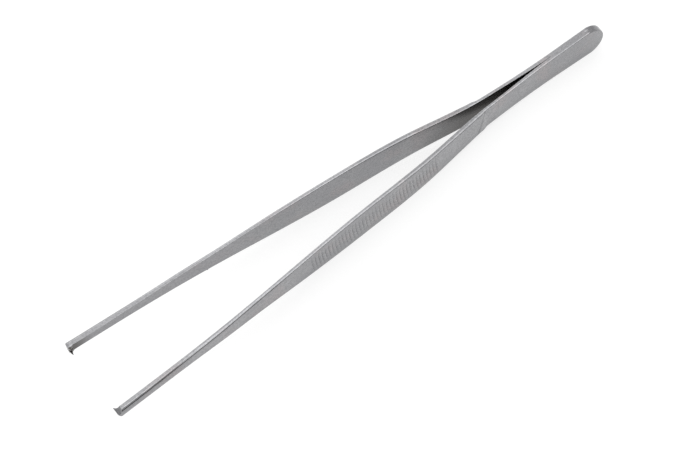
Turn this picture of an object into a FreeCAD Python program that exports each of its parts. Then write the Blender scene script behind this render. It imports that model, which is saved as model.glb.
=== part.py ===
# Thumb forceps with one-by-two teeth, long slender pattern, made from two forged spring blades.
# The blades are joined face to face at the rounded heel, bow apart, and end in small hooked teeth.
# The forceps lie on their side edges: +X runs from the tips to the heel, +Y from the near arm
# to the far arm, +Z up. The origin is under the middle of the length, level with the lowest edge.
# Each blade is first drawn in its own frame: x is the distance from the heel end, y is measured
# outward from the joint plane, and z runs across the blade's width from its middle.
import FreeCAD, Part
import math
import os

# Driving dimensions, millimetres
length = 200.0
weld_length = 18.0
tip_gap = 26.8
tip_end_radius = 0.7

# Stations along the length, measured from the heel end
heel_narrows_at = 24.0
neck_at = 42.0
shoulder_at = 49.0
groove_start = 70.5
widest_at = 101.0
groove_end = 122.0
taper_at = 142.0
slender_at = 162.0
shoulder_run = 1.6

# Widths across the blade
heel_width = 12.8
waist_width = 11.2
neck_width = 10.1
grip_width = 13.1
taper_width = 8.1
slender_width = 5.6
tip_width = 3.7

# Thicknesses of one blade
heel_thickness = 1.3
spring_thickness = 1.0
shoulder_thickness = 1.55
grip_thickness = 1.25
shank_thickness = 1.5
tip_thickness = 2.1

# Half openings between the flat inner faces
neck_offset = 1.12
shoulder_offset = 1.55
bow_offset = 4.5
grip_offset = 7.3
shank_offset = 11.7

# Rounding of the outer edges, as a depth into the thickness and a reach across the width
spring_edge = (0.25, 0.35)
grip_edge = (0.32, 0.5)
taper_edge = (0.4, 0.65)
shank_edge = (0.5, 0.8)
tip_edge = (1.0, 1.2)
edge_flats = 5

# Transverse finger grooves, ground by a wheel so that they run out towards the side edges
groove_count = 38
groove_depth = 0.26
groove_width = 0.8
groove_wheel_radius = 65.0

# Teeth at the tips, with the point that the arc of each hollow back passes through
tooth_base = 1.5
single_tooth_height = 1.5
double_tooth_height = 1.5
tooth_crest = 0.16
tooth_root = 0.4
hollow_run = 0.54
single_hollow = 0.7
double_hollow = 0.55
double_lean = 0.45

# Bevels on either side of the single tooth, which bring that tip to a ridge in side view
point_run = 1.8

# Small burr on the far blade's lower inner edge
burr_at = 148.8
burr_size = 0.5

# Spare stock that the cutting solids need beyond the blade
spare = 3.0

# Longest stretch of blade between two of its sections
section_spacing = 8.0


def vec(x, y, z=0.0):
    return FreeCAD.Vector(x, y, z)


def profile(points, start_slope=None):
    """A smooth curve of value against station, with the station as its parameter."""
    curve = Part.BSplineCurve()
    nodes = [vec(at, value) for at, value in points]
    stations = [at for at, value in points]
    if start_slope is None:
        curve.interpolate(Points=nodes, Parameters=stations)
        return curve
    run = (points[-1][1] - points[-2][1]) / (points[-1][0] - points[-2][0])
    curve.interpolate(Points=nodes, Parameters=stations,
                      InitialTangent=vec(1, start_slope), FinalTangent=vec(1, run))
    return curve


def value_at(curve, station):
    return curve.value(station).y


# Inner face: straight along the joint plane, then bowed out to the tips
inner_curve = profile([
    (weld_length, 0.0),
    (neck_at, neck_offset),
    (shoulder_at, shoulder_offset),
    (groove_start, bow_offset),
    (widest_at, grip_offset),
    (slender_at, shank_offset),
    (length, tip_gap / 2),
], start_slope=0.0)

width_curve = profile([
    (0.0, heel_width),
    (heel_narrows_at, waist_width),
    (neck_at, neck_width),
    (widest_at, grip_width),
    (taper_at, taper_width),
    (slender_at, slender_width),
    (length, tip_width),
])


def inner_offset(station):
    if station <= weld_length:
        return 0.0
    return value_at(inner_curve, min(station, length))


# Thickness and edge rounding on either side of the shoulder step
spring_stations = [(0.0, heel_thickness, spring_edge), (weld_length, heel_thickness, spring_edge),
                   (neck_at, spring_thickness, spring_edge),
                   (shoulder_at - shoulder_run / 2, spring_thickness, spring_edge)]
grip_stations = [(shoulder_at + shoulder_run / 2, shoulder_thickness, grip_edge),
                 (groove_start, shoulder_thickness, grip_edge), (widest_at, grip_thickness, grip_edge),
                 (groove_end, grip_thickness, grip_edge), (taper_at, grip_thickness, taper_edge),
                 (slender_at, shank_thickness, shank_edge), (length, tip_thickness, tip_edge)]


def blend(stations, station):
    """Thickness and edge rounding between the two nearest stated stations."""
    for before, after in zip(stations, stations[1:]):
        if station <= after[0]:
            break
    share = (station - before[0]) / (after[0] - before[0])
    share = share * share * (3 - 2 * share)
    thickness = before[1] + share * (after[1] - before[1])
    edge = [b + share * (a - b) for b, a in zip(before[2], after[2])]
    return thickness, edge[0], edge[1]


def section(stations, station):
    """Blade section: flat inner side, square to the side edges, rounded into the outer face."""
    thickness, depth, reach = blend(stations, station)
    half = value_at(width_curve, station) / 2
    inner = inner_offset(station) - spare
    outer = inner_offset(station) + thickness
    flat = half - reach
    low_in = vec(station, inner, -half)
    low_side = vec(station, outer - depth, -half)
    low_out = vec(station, outer, -flat)
    high_out = vec(station, outer, flat)
    high_side = vec(station, outer - depth, half)
    high_in = vec(station, inner, half)
    edges = [
        Part.makeLine(low_in, low_side),
        *corner(low_side, vec(station, outer, -half), low_out),
        Part.makeLine(low_out, high_out),
        *corner(high_out, vec(station, outer, half), high_side),
        Part.makeLine(high_side, high_in),
        Part.makeLine(high_in, low_in),
    ]
    return Part.Wire(edges)


def corner(start, square, end):
    """Rounded outer edge, ground in narrow flats."""
    curve = Part.BezierCurve()
    curve.setPoles([start, square, end])
    marks = [curve.value(i / edge_flats) for i in range(edge_flats + 1)]
    return [Part.makeLine(a, b) for a, b in zip(marks, marks[1:])]


def spread(first, last):
    steps = math.ceil((last - first) / section_spacing)
    return [first + (last - first) * i / steps for i in range(steps + 1)]


def flat_sided(loft):
    """The same solid with each face rebuilt as a true plane, for a loft whose faces are all flat."""
    planes = []
    for face in loft.Faces:
        corners = [vertex.Point for vertex in face.OuterWire.OrderedVertexes]
        planes.append(Part.Face(Part.makePolygon(corners + corners[:1])))
    return Part.Solid(Part.Shell(planes))


def blade_stock():
    """Flat heel, spring, shoulder ramp and grip with shank, with spare stock on the inner side."""
    spring_end = spring_stations[-1][0]
    grip_begin = grip_stations[0][0]
    heel = [section(spring_stations, s) for s in spread(0.0, weld_length)]
    spring = [section(spring_stations, s) for s in spread(weld_length, spring_end)]
    grip = [section(grip_stations, s) for s in spread(grip_begin, length)]
    stock = flat_sided(Part.makeLoft(heel, True, True))
    stock = stock.fuse(Part.makeLoft(spring, True))
    stock = stock.fuse(Part.makeLoft([spring[-1], grip[0]], True, True))
    return stock.fuse(Part.makeLoft(grip, True))


def inner_side():
    """Everything on the inner side of the blade's flat face, as one tall solid."""
    edges = [
        Part.makeLine(vec(-spare, -2 * spare), vec(-spare, 0)),
        Part.makeLine(vec(-spare, 0), vec(weld_length, 0)),
        inner_curve.toShape(),
        Part.makeLine(vec(length, tip_gap / 2), vec(length + spare, tip_gap / 2)),
        Part.makeLine(vec(length + spare, tip_gap / 2), vec(length + spare, -2 * spare)),
        Part.makeLine(vec(length + spare, -2 * spare), vec(-spare, -2 * spare)),
    ]
    face = Part.Face(Part.Wire(edges))
    face.translate(vec(0, 0, -grip_width))
    return face.extrude(vec(0, 0, 2 * grip_width))


def heel_waste():
    """What is ground off the square heel to leave it a full round in side view, with a rounded rim."""
    radius = heel_width / 2
    depth, reach = spring_edge
    block = Part.makeBox(radius + spare, 4 * spare, 2 * grip_width, vec(-spare, -2 * spare, -grip_width))
    rim_start = vec(0, heel_thickness - depth)
    rim_end = vec(reach, heel_thickness)
    half_disc = Part.Wire([
        Part.makeLine(vec(radius, -spare), vec(0, -spare)),
        Part.makeLine(vec(0, -spare), rim_start),
        *corner(rim_start, vec(0, heel_thickness), rim_end),
        Part.makeLine(rim_end, vec(radius, heel_thickness)),
        Part.makeLine(vec(radius, heel_thickness), vec(radius, -spare)),
    ])
    disc = Part.Face(half_disc).revolve(vec(radius, 0), vec(0, 1), 360)
    return block.cut(disc)


def tip_waste():
    """What is ground off the outer corner of the square tip, seen from above."""
    radius = tip_end_radius
    outer = tip_gap / 2 + tip_thickness
    block = Part.makeBox(radius + spare, radius + spare, 2 * grip_width,
                         vec(length - radius, outer - radius, -grip_width))
    rod = Part.makeCylinder(radius, 2 * grip_width, vec(length - radius, outer - radius, -grip_width))
    return block.cut(rod)


def point_waste():
    """What the two bevels take off the single-tooth tip, in side view."""
    half = tip_width / 2
    rise = half - tooth_crest / 2
    bevel = [
        (length, tooth_crest / 2), (length + spare, tooth_crest / 2), (length + spare, half + spare),
        (length - 1.5 * point_run, half + spare), (length - 1.5 * point_run, half + 0.5 * rise),
    ]
    low = tip_gap / 2 - single_tooth_height - spare
    high = tip_gap / 2 + tip_thickness + spare
    cutters = []
    for side in (-1, 1):
        wire = Part.makePolygon([vec(x, low, side * z) for x, z in bevel + bevel[:1]])
        cutters.append(Part.Face(wire).extrude(vec(0, high - low, 0)))
    return cutters


def grooves():
    """Transverse grooves: the rim of the vee-edged wheel where it dips into the outer face."""
    pitch = (groove_end - groove_start) / (groove_count - 1)
    lift = groove_depth
    half_mouth = groove_width / 2 * (groove_depth + lift) / groove_depth
    wheel_centre = vec(0, groove_wheel_radius)
    swing = math.degrees(math.asin(grip_width / 2 / groove_wheel_radius))
    cutters = []
    for i in range(groove_count):
        station = groove_start + i * pitch
        outer = inner_offset(station) + blend(grip_stations, station)[0]
        ahead = inner_offset(station + pitch) + blend(grip_stations, station + pitch)[0]
        lean = math.degrees(math.atan2(ahead - outer, pitch))
        mouth = [vec(-half_mouth, lift), vec(half_mouth, lift), vec(0, -groove_depth), vec(-half_mouth, lift)]
        rim = Part.Face(Part.makePolygon(mouth))
        rim.rotate(wheel_centre, vec(1, 0), -swing)
        vee = rim.revolve(wheel_centre, vec(1, 0), 2 * swing)
        vee.rotate(vec(0, 0, 0), vec(0, 0, 1), lean)
        vee.translate(vec(station, outer))
        cutters.append(vee)
    return cutters


def hook_side(height, hollow, lean=0.0):
    """Tooth seen from above: front that leans back and a hollow back that runs out along the blade."""
    inner = tip_gap / 2
    front = vec(length - lean, inner - height)
    crest = front - vec(tooth_crest, 0)
    middle = vec(front.x - hollow_run, inner - hollow)
    back_end = vec(front.x - tooth_base, inner)
    corners = [back_end, back_end + vec(0, tooth_root), vec(length, inner + tooth_root), vec(length, inner),
               front, crest]
    edges = [Part.makeLine(a, b) for a, b in zip(corners, corners[1:])]
    edges.append(Part.Arc(crest, middle, back_end).toShape())
    face = Part.Face(Part.Wire(edges))
    face.translate(vec(0, 0, -tip_width))
    return face.extrude(vec(0, 0, 2 * tip_width))


def tooth_outline(points):
    start = length - 2 * tooth_base
    wire = Part.makePolygon([vec(start, y, z) for y, z in points + points[:1]])
    return Part.Face(wire).extrude(vec(3 * tooth_base, 0, 0))


def single_tooth():
    """One central tooth, the full width at its root."""
    inner = tip_gap / 2
    half = tip_width / 2
    front = tooth_outline([
        (inner + tooth_root, -half), (inner, -half),
        (inner - single_tooth_height, -tooth_crest / 2), (inner - single_tooth_height, tooth_crest / 2),
        (inner, half), (inner + tooth_root, half),
    ])
    return front.common(hook_side(single_tooth_height, single_hollow))


def double_tooth():
    """Two teeth at the edges, with a vee between them that the single tooth closes into."""
    inner = tip_gap / 2
    half = tip_width / 2
    crest = inner - double_tooth_height
    front = tooth_outline([
        (inner + tooth_root, -half), (inner, -half),
        (crest, -half + tooth_crest), (crest, -half + 2 * tooth_crest),
        (inner, 0.0),
        (crest, half - 2 * tooth_crest), (crest, half - tooth_crest),
        (inner, half), (inner + tooth_root, half),
    ])
    return front.common(hook_side(double_tooth_height, double_hollow, double_lean))


def burr():
    """Tiny raised burr left on the lower inner edge."""
    base = vec(burr_at, inner_offset(burr_at), -value_at(width_curve, burr_at) / 2)
    bead = Part.makeSphere(burr_size / 2)
    bead.translate(base + vec(0, burr_size / 4, 0))
    return bead


def blade(tooth, tip_bevels=()):
    solid = blade_stock().cut(inner_side())
    solid = solid.cut([heel_waste(), tip_waste()])
    solid = solid.fuse(tooth)
    solid = solid.cut([*tip_bevels, *grooves()])
    return solid.removeSplitter()


def place(solid, drop):
    """From the blade's own frame to the forceps frame."""
    solid.rotate(vec(0, 0, 0), vec(0, 0, 1), 180)
    solid.translate(vec(length / 2, 0, drop))
    return solid


near_arm = blade(single_tooth(), point_waste())
far_arm = blade(double_tooth()).fuse(burr()).mirror(vec(0, 0, 0), vec(0, 1, 0))
rest_height = -min(near_arm.BoundBox.ZMin, far_arm.BoundBox.ZMin)

os.makedirs("parts", exist_ok=True)
for name, solid in (("single_tooth_arm", near_arm), ("double_tooth_arm", far_arm)):
    place(solid, rest_height).exportStep(f"parts/{name}.step")
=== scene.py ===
import math

import bmesh
import bpy
import numpy as np
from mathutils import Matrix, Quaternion, Vector


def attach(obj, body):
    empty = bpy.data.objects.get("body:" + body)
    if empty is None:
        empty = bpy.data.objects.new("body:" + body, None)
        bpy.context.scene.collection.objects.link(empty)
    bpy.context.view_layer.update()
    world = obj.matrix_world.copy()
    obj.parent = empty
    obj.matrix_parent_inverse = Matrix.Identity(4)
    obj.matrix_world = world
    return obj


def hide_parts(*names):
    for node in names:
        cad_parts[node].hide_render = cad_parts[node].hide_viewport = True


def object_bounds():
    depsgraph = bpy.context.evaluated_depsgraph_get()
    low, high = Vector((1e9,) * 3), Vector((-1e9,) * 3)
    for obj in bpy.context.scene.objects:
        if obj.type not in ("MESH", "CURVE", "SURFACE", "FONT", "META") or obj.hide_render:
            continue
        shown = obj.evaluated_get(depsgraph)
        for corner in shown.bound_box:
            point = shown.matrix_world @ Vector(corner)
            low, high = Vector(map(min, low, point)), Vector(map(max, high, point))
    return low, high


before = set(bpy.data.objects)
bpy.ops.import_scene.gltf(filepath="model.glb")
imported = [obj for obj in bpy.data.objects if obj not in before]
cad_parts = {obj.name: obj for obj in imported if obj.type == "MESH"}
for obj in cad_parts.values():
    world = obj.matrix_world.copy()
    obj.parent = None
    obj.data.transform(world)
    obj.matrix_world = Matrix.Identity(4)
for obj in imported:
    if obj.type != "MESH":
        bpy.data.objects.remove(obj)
cadLow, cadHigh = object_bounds()
mm = 0.001

# Blades: stations run from the heel end, sizes in millimetres
shoulder = (47.9, 50.0)          # ramp up from the spring to the thicker grip
bladeValues = {
    "length": 200.0,
    "weldLength": 18.0,
    "opening": [(18, 0), (42, 1.12), (49, 1.55), (70.5, 4.5), (101, 7.3), (162, 11.7), (200, 13.4)],
    "openingSlopes": (0.0, 0.0518),
    "width": [(0, 12.8), (24, 11.2), (42, 10.1), (101, 13.1), (142, 8.1), (162, 5.6), (200, 3.7)],
    "widthSlopes": (-0.0567, 0.0290),
    "thickness": [(0, 1.3), (18, 1.3), (42, 1.0), (shoulder[0], 1.0), (shoulder[1], 1.38), (57, 1.55),
                  (70.5, 1.55), (101, 1.25), (142, 1.25), (162, 1.5), (200, 2.1)],
    "edgeDepth": [(0, 0.5), (shoulder[0], 0.5), (shoulder[1], 0.7), (90, 0.7), (122, 0.6), (142, 0.88),
                  (165, 0.95), (181, 0.75), (200, 1.0)],
    "edgeReach": [(0, 0.22), (shoulder[0], 0.22), (shoulder[1], 0.3), (122, 0.3), (142, 0.7), (165, 0.75),
                  (181, 0.95), (200, 1.2)],
    "facetSpan": (0.1, 0.58),    # the stretch of each edge's rounding that is ground flat
    "innerBreak": [(0, 0.02), (18, 0.02), (42, 0.1), (60, 0.16), (122, 0.16), (200, 0.1)],
    "tipRadius": 0.95,
}

grooveValues = {
    "count": 38,
    "first": 70.5,
    "last": 122.0,
    "depth": 0.26,
    "width": 0.8,
    "wheelRadius": 65.0,
    "blunt": 0.05,               # half width of the rounded bottom and lips
    "bluntDrop": 0.6,            # share of it by which the rounded groove is sunk again
}

toothValues = {
    "base": 1.5,
    "crest": 0.16,
    "hollowRun": 0.54,
    "singleHeight": 1.5,
    "singleHollow": 0.7,
    "doubleHeight": 1.5,
    "doubleHollow": 0.55,
    "doubleLean": 0.45,
    "pointRun": 1.8,             # length of the bevels beside the single tooth
    "sharpRun": 2.1,             # this close to the tip the inner edges are almost sharp
    "sharpness": 0.2,
}

burrValues = {"station": 148.8, "radius": 0.25, "height": 0.2, "lean": 0.5, "margin": 0.8, "spacing": 0.1}

# Where the mesh has its rings of points, and how many points there are round a ring
meshValues = {
    "ringSpacing": 1.5,
    "shoulderSpacing": 0.16,
    "tipSpacing": 0.15,
    "leastSpacing": 0.008,
    "heelSteps": 6,              # rings within the rounded edge at the heel's end
    "heelAngles": (22, 91, 4),   # rings round the rest of the heel's end, in degrees
    "tipAngles": (0, 91, 15),
    "grooveRings": (-0.46, -0.38, -0.3, -0.15, -0.06, 0, 0.06, 0.15, 0.3, 0.38, 0.46),
    "beforeGrooves": 0.5,
    "afterGrooves": 0.6,
    "beforeTooth": 0.3,
    "acrossFace": 14,            # steps across the outer and inner faces
    "aroundEdge": 9,             # steps round each outer edge
    "hollowSteps": 16,
    "leanSteps": 4,
    "cornerShare": 0.3,          # bulge of the broken inner edge
    "holdShare": 0.1,            # point that keeps the side face flat below the outer edge
    "joinWithin": 0.0005,        # points closer than this become one
    "sharpAngle": 32,
}


def clampedCurve(points, slopes):   # cubic through the points, with the slope given at each end
    at, value = np.array(points, float).T
    gap = np.diff(at)
    rise = np.diff(value) / gap
    rows = np.zeros((len(at), len(at)))
    known = np.zeros(len(at))
    for i in range(1, len(at) - 1):
        rows[i, i - 1:i + 2] = gap[i - 1], 2 * (gap[i - 1] + gap[i]), gap[i]
        known[i] = 6 * (rise[i] - rise[i - 1])
    rows[0, :2] = 2 * gap[0], gap[0]
    rows[-1, -2:] = gap[-1], 2 * gap[-1]
    known[0] = 6 * (rise[0] - slopes[0])
    known[-1] = 6 * (slopes[1] - rise[-1])
    bend = np.linalg.solve(rows, known)

    def valueAt(station):
        i = int(np.clip(np.searchsorted(at, station) - 1, 0, len(gap) - 1))
        back = (at[i + 1] - station) / gap[i]
        on = 1 - back
        curve = (back**3 - back) * bend[i] + (on**3 - on) * bend[i + 1]
        return back * value[i] + on * value[i + 1] + curve * gap[i]**2 / 6

    return valueAt


def eased(points, station):         # smooth steps between the stated stations
    for (a, low), (b, high) in zip(points, points[1:]):
        if station <= b:
            break
    share = min(max((station - a) / (b - a), 0.0), 1.0)
    return low + (high - low) * share * share * (3 - 2 * share)


openingAt = clampedCurve(bladeValues["opening"], bladeValues["openingSlopes"])
widthAt = clampedCurve(bladeValues["width"], bladeValues["widthSlopes"])
heelRadius = bladeValues["width"][0][1] / 2
tipHalf = bladeValues["width"][-1][1] / 2
groovePitch = (grooveValues["last"] - grooveValues["first"]) / (grooveValues["count"] - 1)


def innerFace(station):
    return openingAt(station) if station > bladeValues["weldLength"] else 0.0


def outline(station):               # half the width, with the heel a full round
    half = widthAt(station) / 2
    if station < heelRadius:
        half = min(half, math.sqrt(max(heelRadius**2 - (heelRadius - station)**2, 0.0)))
    return half


def fromEdge(station, z):           # distance in to the blade's outline
    inside = outline(station) - abs(z)
    if station < heelRadius:
        inside = min(inside, heelRadius - math.hypot(heelRadius - station, z))
    return max(inside, 0.0)


def grooveCut(station, z):
    v = grooveValues
    nearest = round((station - v["first"]) / groovePitch)
    if not 0 <= nearest < v["count"]:
        return 0.0
    off = abs(station - v["first"] - nearest * groovePitch)
    off = math.hypot(off, v["blunt"]) - v["blunt"] * v["bluntDrop"]
    return max(v["depth"] * (1 - 2 * off / v["width"]) - z * z / (2 * v["wheelRadius"]), 0.0)


def outerDrop(station, z):          # how far the outer face lies under its full thickness
    depth = eased(bladeValues["edgeDepth"], station)
    reach = eased(bladeValues["edgeReach"], station)
    share = math.sqrt(min(fromEdge(station, z) / reach, 1.0))
    rounded = depth * (1 - share)**2
    first, last = bladeValues["facetSpan"]
    if first < share < last:
        along = (share**2 - first**2) / (last**2 - first**2)
        rounded = depth * ((1 - first)**2 * (1 - along) + (1 - last)**2 * along)
    drop = max(rounded, grooveCut(station, z))
    radius = bladeValues["tipRadius"]
    past = station - (bladeValues["length"] - radius)
    if past > 0:
        drop = max(drop, radius - math.sqrt(max(radius**2 - past**2, 0.0)))
    return drop


def circleThrough(a, b, c):
    (ax, ay), (bx, by), (cx, cy) = a, b, c
    rows = np.array([[bx - ax, by - ay], [cx - ax, cy - ay]])
    known = np.array([bx**2 - ax**2 + by**2 - ay**2, cx**2 - ax**2 + cy**2 - ay**2]) / 2
    x, y = np.linalg.solve(rows, known)
    return x, y, math.hypot(ax - x, ay - y)


def toothShape(double):             # height of the tooth against run from the tip, and the runs to mesh
    v = toothValues
    height = v["doubleHeight"] if double else v["singleHeight"]
    hollow = v["doubleHollow"] if double else v["singleHollow"]
    lean = v["doubleLean"] if double else 0.0
    x, y, radius = circleThrough((v["crest"], height), (v["hollowRun"], hollow), (v["base"], 0.0))

    def side(run):                  # seen from above: front that leans back, and a hollow back
        run -= lean
        if run >= v["base"]:
            return 0.0
        if run < 0:
            return height * (1 + run / lean)
        if run <= v["crest"]:
            return height
        return max(y - math.sqrt(max(radius**2 - (run - x)**2, 0.0)), 0.0)

    def front(z):                   # seen from the tip: one central tooth, or two with a vee between
        z = abs(z)
        if not double:
            return height * min(1.0, (tipHalf - z) / (tipHalf - v["crest"] / 2))
        return height * min(1.0, (tipHalf - z) / v["crest"], z / (tipHalf - 2 * v["crest"]))

    start = math.atan2(0.0 - y, v["base"] - x)
    end = math.atan2(height - y, v["crest"] - x)
    if end > start:
        end -= 2 * math.pi
    steps = meshValues["hollowSteps"]
    angles = [start + (end - start) * k / steps for k in range(steps + 1)]
    runs = [lean + x + radius * math.cos(angle) for angle in angles]
    steps = meshValues["leanSteps"]
    runs += [lean * k / steps for k in range(steps + 1)]
    return lambda run, z: max(min(side(run), front(z)), 0.0), runs


def evenly(first, last, spacing):
    count = max(1, math.ceil((last - first) / spacing))
    return [first + (last - first) * k / count for k in range(count + 1)]


def ringStations(toothRuns, double):
    v = meshValues
    length = bladeValues["length"]
    spacing = v["ringSpacing"]
    reach = bladeValues["edgeReach"][0][1]
    stations = [reach * (k / v["heelSteps"])**2 for k in range(v["heelSteps"] + 1)]
    stations += [heelRadius * (1 - math.cos(math.radians(k))) for k in range(*v["heelAngles"])]
    stations += evenly(heelRadius, shoulder[0], spacing)
    stations += evenly(*shoulder, v["shoulderSpacing"])
    stations += evenly(shoulder[1], grooveValues["first"] - v["beforeGrooves"], spacing)
    for k in range(grooveValues["count"]):
        stations += [grooveValues["first"] + k * groovePitch + step for step in v["grooveRings"]]
    toothStart = length - toothValues["base"] - v["beforeTooth"]
    stations += evenly(grooveValues["last"] + v["afterGrooves"], toothStart, spacing)
    stations += [length - run for run in toothRuns]
    radius = bladeValues["tipRadius"]
    stations += [length - radius * (1 - math.sin(math.radians(k))) for k in range(*v["tipAngles"])]
    stations += evenly(length - toothValues["pointRun"], length, v["tipSpacing"])
    if double:
        middle, margin = burrValues["station"], burrValues["margin"]
        stations += evenly(middle - margin, middle + margin, burrValues["spacing"])
    stations.sort()
    kept = [stations[0]]
    for station in stations[1:]:
        if station - kept[-1] > v["leastSpacing"]:
            kept.append(station)
    kept[-1] = length
    return kept


def raiseBurr(station, y, z):
    middle = burrValues["station"]
    corner = (innerFace(middle), -outline(middle))
    away = math.dist((station, y, z), (middle, *corner))
    lift = burrValues["height"] * math.exp(-(away / burrValues["radius"])**2)
    return y - burrValues["lean"] * lift, z - lift


def ringPoints(station, tooth, double):     # (out from the joint plane, across), from the low inside edge on
    v = meshValues
    half = outline(station)
    run = bladeValues["length"] - station
    if not double:                  # the single-tooth tip is bevelled to a ridge
        ridge = toothValues["crest"] / 2
        half = min(half, ridge + (tipHalf - ridge) * run / toothValues["pointRun"])
    inner = innerFace(station)
    outer = inner + eased(bladeValues["thickness"], station)
    reach = min(eased(bladeValues["edgeReach"], station), half)
    broken = min(eased(bladeValues["innerBreak"], station), half / 2)
    if run < toothValues["sharpRun"]:
        broken *= toothValues["sharpness"]
    across = []
    for k in range(v["acrossFace"] * 2 + 1):
        z = (half - broken) * (k / v["acrossFace"] - 1)
        across.append((inner - tooth(run, z), z))
    foot = inner - tooth(run, half)
    corner = outer - outerDrop(station, half)
    bulge = broken * v["cornerShare"]
    upper = [(foot + bulge, half - bulge), (foot + broken, half)]
    upper.append((corner - v["holdShare"] * (corner - foot - broken), half))
    for k in range(v["aroundEdge"]):
        z = half - reach * (k / v["aroundEdge"])**2
        upper.append((outer - outerDrop(station, z), z))
    for k in range(v["acrossFace"] // 2):
        z = (half - reach) * (1 - 2 * k / v["acrossFace"])
        upper.append((outer - outerDrop(station, z), z))
    lower = [(y, -z) for y, z in reversed(upper)]
    ring = across + upper + [(outer - outerDrop(station, 0.0), 0.0)] + lower
    if double:
        ring = [raiseBurr(station, y, z) for y, z in ring]
    return ring + ring[:1]


def bladeMesh(name, side, double):
    tooth, runs = toothShape(double)
    stations = ringStations(runs, double)
    rings = [ringPoints(station, tooth, double) for station in stations]
    around = len(rings[0])
    heelX = cadHigh.x / mm
    middleZ = (cadLow.z + cadHigh.z) / 2 / mm
    bm = bmesh.new()
    uvLayer = bm.loops.layers.uv.new("blade")
    bmesh.ops.create_grid(bm, x_segments=around - 1, y_segments=len(rings) - 1, size=0.5)
    innerSide = bm.verts.layers.float.new("innerSide")
    outerSide = bm.verts.layers.float.new("outerSide")
    groove = bm.verts.layers.float.new("groove")
    girths = [np.cumsum([0.0] + [math.dist(a, b) for a, b in zip(ring, ring[1:])]) for ring in rings]
    spots = {}
    for vert in bm.verts:
        column = round((vert.co.x + 0.5) * (around - 1))
        row = round((vert.co.y + 0.5) * (len(rings) - 1))
        y, z = rings[row][column]
        spots[vert] = (stations[row] * mm, girths[row][column] * mm)
        vert[innerSide] = 1.0 if column <= meshValues["acrossFace"] * 2 or column == around - 1 else 0.0
        inward = fromEdge(stations[row], z) / eased(bladeValues["edgeReach"], stations[row])
        vert[outerSide] = (1 - vert[innerSide]) * min(inward, 1.0)
        vert[groove] = (1 - vert[innerSide]) * grooveCut(stations[row], z) / grooveValues["depth"]
        vert.co = Vector((heelX - stations[row], side * y, middleZ + z)) * mm
    for face in bm.faces:
        for loop in face.loops:
            loop[uvLayer].uv = spots[loop.vert]
    bmesh.ops.remove_doubles(bm, verts=bm.verts, dist=meshValues["joinWithin"] * mm)
    rim = [edge for edge in bm.edges if edge.is_boundary]
    bmesh.ops.holes_fill(bm, edges=rim, sides=0)
    bmesh.ops.recalc_face_normals(bm, faces=bm.faces)
    mesh = bpy.data.meshes.new(name)
    bm.to_mesh(mesh)
    bm.free()
    mesh.shade_smooth()
    mesh.set_sharp_from_angle(angle=math.radians(meshValues["sharpAngle"]))
    piece = bpy.data.objects.new(name, mesh)
    bpy.context.scene.collection.objects.link(piece)
    weighted = piece.modifiers.new("faceNormals", "WEIGHTED_NORMAL")
    weighted.keep_sharp = True
    print(name, len(mesh.vertices), "vertices", len(mesh.polygons), "faces")
    return piece


# Shader sums: a socket that can be added, subtracted and multiplied
class Signal:
    def __init__(self, finish, socket):
        self.finish = finish
        self.socket = socket

    def math(self, operation, *others):
        return self.finish.node("Math", {"operation": operation}, dict(enumerate((self, *others))))

    def __add__(self, other):
        return self.math("ADD", other)

    def __radd__(self, other):
        return self.math("ADD", other)

    def __sub__(self, other):
        return self.math("SUBTRACT", other)

    def __rsub__(self, other):
        return self.finish.node("Math", {"operation": "SUBTRACT"}, {0: other, 1: self})

    def __mul__(self, other):
        return self.math("MULTIPLY", other)

    def __rmul__(self, other):
        return self.math("MULTIPLY", other)

    def __abs__(self):
        return self.math("ABSOLUTE")


class Finish:
    def __init__(self, owner):      # a new material or world
        owner.use_nodes = True
        self.tree = owner.node_tree
        self.tree.nodes.clear()

    def node(self, kind, settings=None, sockets=None, output=0):
        made = self.tree.nodes.new("ShaderNode" + kind)
        for key, value in (settings or {}).items():
            setattr(made, key, value)
        for key, value in (sockets or {}).items():
            if isinstance(value, Signal):
                self.tree.links.new(value.socket, made.inputs[key])
            else:
                made.inputs[key].default_value = value
        return Signal(self, made.outputs[output]) if made.outputs else None

    def blend(self, share, first, second):
        return self.node("Mix", {"data_type": "RGBA"}, {0: share, 6: first, 7: second}, output=2)

    def ramp(self, value, span):    # 0 below the span, 1 above it
        ends = {"From Min": span[0], "From Max": span[1]}
        return self.node("MapRange", {"interpolation_type": "SMOOTHSTEP"}, {"Value": value, **ends})

    def between(self, value, rise, fall):
        return self.ramp(value, rise) * (1 - self.ramp(value, fall))

    def noise(self, where, scale, detail, stretch=(1, 1, 1)):
        placed = self.node("Mapping", {}, {"Vector": where, "Scale": stretch})
        return self.node("TexNoise", {}, {"Vector": placed, "Scale": scale, "Detail": detail})


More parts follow.
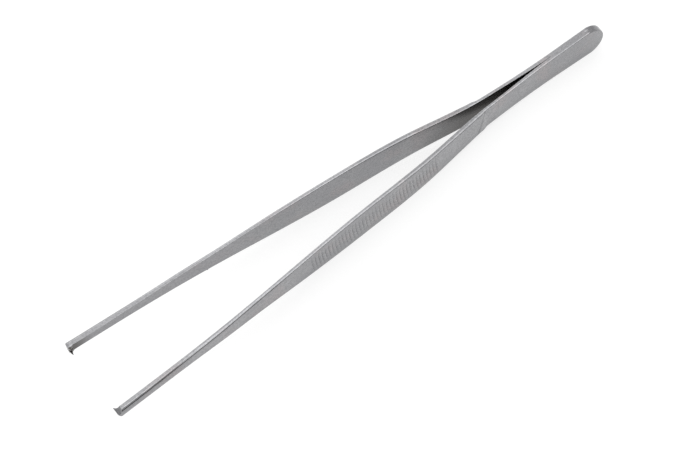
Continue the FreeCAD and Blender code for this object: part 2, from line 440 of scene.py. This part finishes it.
# Steel: lengths in metres, stations from the heel end, shades as shares of the way to "shaded"
steelValues = {
    "light": (0.358, 0.358, 0.366, 1),
    "dark": (0.313, 0.312, 0.323, 1),
    "warm": (0.36, 0.328, 0.33, 1),
    "grain": (0.248, 0.25, 0.258, 1),
    # brown heat tint with painted shade between the springs, and painted shade behind the teeth
    "tintAndShade": (0.05, 0.042, 0.034, 1),
    "shaded": (0.108, 0.11, 0.118, 1),
    "cloud": (60.0, 3.0),               # noises: how fine, per metre, and their detail
    "warmCloud": (110.0, 2.0),
    "streak": (900.0, 4.0),
    "streakStretch": (0.05, 1, 1),      # the fine lines run along the blade
    "speck": (1500.0, 2.0),
    "cloudSpan": (0.35, 0.68),
    "warmSpan": (0.48, 0.72),
    "warmShare": 0.7,
    "streakSpan": (0.45, 0.8),
    "streakShare": 0.4,
    "speckSpan": (0.4, 0.66),
    "speckShare": 0.8,
    "gapTintAndShadeFade": (0.04, 0.084),          # brown heat tint and painted shade in the gap between the springs, with a cloudy end
    "gapTintAndShadeWander": 0.02,
    "recessShadeSpan": (0.190, 0.1993),      # painted shade in the corner behind the teeth
    "faceSpan": (0.3, 0.8),             # where the outer edge's rounding gives way to the face
    "lowSpan": (0.0, 0.007),            # painted shade: the lower edge of the outer face is darker
    "lowShade": 0.2,
    "grooveShade": 0.2,
    "shankSpan": (0.155, 0.19),
    "shankShade": 0.25,
    "innerShade": 0.2,
    "lineStation": 0.0485,              # painted shade along the slanting step the wheel left at the shoulder
    "lineHeight": 0.0105,
    "lineSlope": 0.44,
    "lineSpan": (0.0001, 0.0008),
    "lineShade": 0.45,
    "endSpan": (0.1989, 0.1997),        # front of the tips
    "endShade": 0.55,
    "heelFade": (0.014, 0.03),          # side edges at the heel
    "heelShade": 0.16,
    "sideRise": (0.1, 0.135),           # side edges from the grip to the shanks
    "sideFade": (0.165, 0.19),
    "sideShade": 0.18,
    "roughness": 0.27,
    "polished": 0.2,                    # the shanks are smoother
    "polishedSpan": (0.12, 0.15),
    "streakRough": 0.12,
    "speckRough": 0.05,
    "bump": 0.2,
    "bumpDepth": 0.00002,
    "streakBump": 0.6,
    "speckBump": 0.4,
}


def steelFinish(name, tipShade):
    v = steelValues
    material = bpy.data.materials.new(name)
    f = Finish(material)
    body = f.node("TexCoord", {}, {}, output=3)
    blade = f.node("UVMap", {"uv_map": "blade"})
    station = f.node("SeparateXYZ", {}, {0: blade}, output=0)
    height = f.node("SeparateXYZ", {}, {0: body}, output=2)
    inner = f.node("Attribute", {"attribute_name": "innerSide"}, {}, output=2)
    inward = f.node("Attribute", {"attribute_name": "outerSide"}, {}, output=2)
    groove = f.node("Attribute", {"attribute_name": "groove"}, {}, output=2)
    outer = f.ramp(inward, v["faceSpan"])
    side = (1 - outer) * (1 - inner)
    cloud = f.noise(body, *v["cloud"])
    warmCloud = f.noise(body, *v["warmCloud"])
    streaks = f.noise(blade, *v["streak"], v["streakStretch"])
    speck = f.noise(body, *v["speck"])

    colour = f.blend(f.ramp(cloud, v["cloudSpan"]), v["dark"], v["light"])
    colour = f.blend(f.ramp(warmCloud, v["warmSpan"]) * v["warmShare"], colour, v["warm"])
    colour = f.blend(f.ramp(streaks, v["streakSpan"]) * v["streakShare"], colour, v["grain"])
    colour = f.blend(f.ramp(speck, v["speckSpan"]) * v["speckShare"], colour, v["grain"])
    # brown heat tint and painted shade in the gap between the springs
    tintAndShadeShare = inner * (1 - f.ramp(station + (cloud - 0.5) * v["gapTintAndShadeWander"], v["gapTintAndShadeFade"]))
    # painted shade in the corner behind the teeth, in the same dark colour
    tintAndShadeShare = tintAndShadeShare + inner * f.ramp(station, v["recessShadeSpan"]) * tipShade
    colour = f.blend(tintAndShadeShare, colour, v["tintAndShade"])
    shade = outer * (1 - f.ramp(height, v["lowSpan"])) * v["lowShade"] + groove * v["grooveShade"]
    shade = shade + outer * f.ramp(station, v["shankSpan"]) * v["shankShade"] + inner * v["innerShade"]
    offLine = station - v["lineStation"] + (height - v["lineHeight"]) * v["lineSlope"]
    shade = shade + outer * (1 - f.ramp(abs(offLine), v["lineSpan"])) * v["lineShade"]
    # painted shade on the front of the tips, scaled by the arm's tip shade
    shade = shade + (1 - inner) * f.ramp(station, v["endSpan"]) * v["endShade"] * tipShade
    shade = shade + side * (1 - f.ramp(station, v["heelFade"])) * v["heelShade"]
    shade = shade + side * f.between(station, v["sideRise"], v["sideFade"]) * v["sideShade"]
    colour = f.blend(shade, colour, v["shaded"])

    rough = v["roughness"] - f.ramp(station, v["polishedSpan"]) * (v["roughness"] - v["polished"])
    rough = rough + (streaks - 0.5) * v["streakRough"] + (speck - 0.5) * v["speckRough"]
    relief = streaks * v["streakBump"] + speck * v["speckBump"]
    bump = f.node("Bump", {}, {"Strength": v["bump"], "Distance": v["bumpDepth"], "Height": relief})
    shader = f.node("BsdfPrincipled", {}, {
        "Base Color": colour, "Roughness": rough, "Normal": bump, "Metallic": 1.0})
    f.node("OutputMaterial", {}, {"Surface": shader})
    return material


# Each arm: its node, which side of the joint plane it is on, whether it has two teeth, and how dark the
# painted shade at its tip is, in the corner behind its teeth and on its front
armValues = {
    "nearArm": ("single_tooth_arm", -1, False, 0.25),
    "farArm": ("double_tooth_arm", 1, True, 0.9),
}
for name, (node, side, double, tipShade) in armValues.items():
    arm = bladeMesh(name, side, double)
    arm.data.materials.append(steelFinish(name + "Steel", tipShade))
    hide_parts(node)
    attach(arm, "root")
print("arms made")

# Studio: pale floor, a soft light overhead, and a sky that is brighter behind the forceps
# and towards the tips, and dimmer on the camera's side
studioValues = {
    "floorSize": 3.0,
    "floor": (0.3, 0.3, 0.3, 1),
    "floorRoughness": 0.9,
    "floorSheen": 0.1,
    "floorGlow": 0.72,                  # lit a little from below, as on a light table
    "white": (1, 1, 1, 1),
    "sky": 0.85,
    "tipsGlow": 0.72,
    "tipsRise": (-0.75, -0.45),
    "tipsFade": (0.08, 0.3),
    "backGlow": 0.6,
    "backSpan": (0.6, 0.85),
    "horizon": 0.75,                    # what is left of the sky at the horizon
    "horizonSpan": (0.0, 0.3),
    "cameraSide": 0.15,                 # what is left of it on the camera's side
    "cameraSpan": (0.45, 0.75),
    "softboxPlace": (0.1, -0.13, 1.2),
    "softboxSize": (1.7, 0.62),
    "softboxPower": 2.7,
}


def studio():
    v = studioValues
    bm = bmesh.new()
    bmesh.ops.create_grid(bm, x_segments=1, y_segments=1, size=v["floorSize"] / 2)
    mesh = bpy.data.meshes.new("floor")
    bm.to_mesh(mesh)
    bm.free()
    floor = bpy.data.objects.new("floor", mesh)
    floor.location.z = cadLow.z
    bpy.context.scene.collection.objects.link(floor)
    material = bpy.data.materials.new("paleFloor")
    f = Finish(material)
    shader = f.node("BsdfPrincipled", {}, {
        "Base Color": v["floor"], "Roughness": v["floorRoughness"], "Specular IOR Level": v["floorSheen"],
        "Emission Color": v["white"], "Emission Strength": v["floorGlow"]})
    f.node("OutputMaterial", {}, {"Surface": shader})
    mesh.materials.append(material)

    light = bpy.data.lights.new("softbox", "AREA")
    light.shape = "ELLIPSE"
    light.size, light.size_y = v["softboxSize"]
    light.energy = v["softboxPower"]
    softbox = bpy.data.objects.new("softbox", light)
    softbox.location = v["softboxPlace"]
    softbox.rotation_mode = "QUATERNION"
    softbox.rotation_quaternion = (-Vector(v["softboxPlace"])).to_track_quat("-Z", "Y")
    bpy.context.scene.collection.objects.link(softbox)

    world = bpy.data.worlds.new("studioSky")
    bpy.context.scene.world = world
    f = Finish(world)
    way = f.node("TexCoord")
    x, y, z = (f.node("SeparateXYZ", {}, {0: way}, output=k) for k in range(3))
    level = v["sky"] + v["tipsGlow"] * f.between(x, v["tipsRise"], v["tipsFade"])
    level = level + v["backGlow"] * f.ramp(y, v["backSpan"])
    level = level * (v["horizon"] + (1 - v["horizon"]) * f.ramp(z, v["horizonSpan"]))
    level = level * (1 - (1 - v["cameraSide"]) * f.ramp(0 - y, v["cameraSpan"]))
    sky = f.node("Background", {}, {"Color": v["white"], "Strength": level})
    f.node("OutputWorld", {}, {"Surface": sky})
    bpy.context.scene.view_settings.view_transform = "Standard"


# Camera: above the near side and towards the tips, with a long lens and a roll
cameraValues = {
    "place": (-0.21588, -0.47180, 0.99892),
    "target": (-0.006585, -0.008520, 0.006617),
    "roll": -12.642,
    "lens": 181.363,
    "sensor": 36.0,
    "clip": (0.01, 20.0),
}


def photoCamera():
    v = cameraValues
    data = bpy.data.cameras.new("photoCamera")
    data.lens = v["lens"]
    data.sensor_width = v["sensor"]
    data.clip_start, data.clip_end = v["clip"]
    camera = bpy.data.objects.new("photoCamera", data)
    bpy.context.scene.collection.objects.link(camera)
    camera.location = v["place"]
    camera.rotation_mode = "QUATERNION"
    aim = (Vector(v["target"]) - Vector(v["place"])).to_track_quat("-Z", "Y")
    camera.rotation_quaternion = aim @ Quaternion((0, 0, 1), math.radians(v["roll"]))
    bpy.context.scene.camera = camera


studio()
photoCamera()
print("studio and camera made")
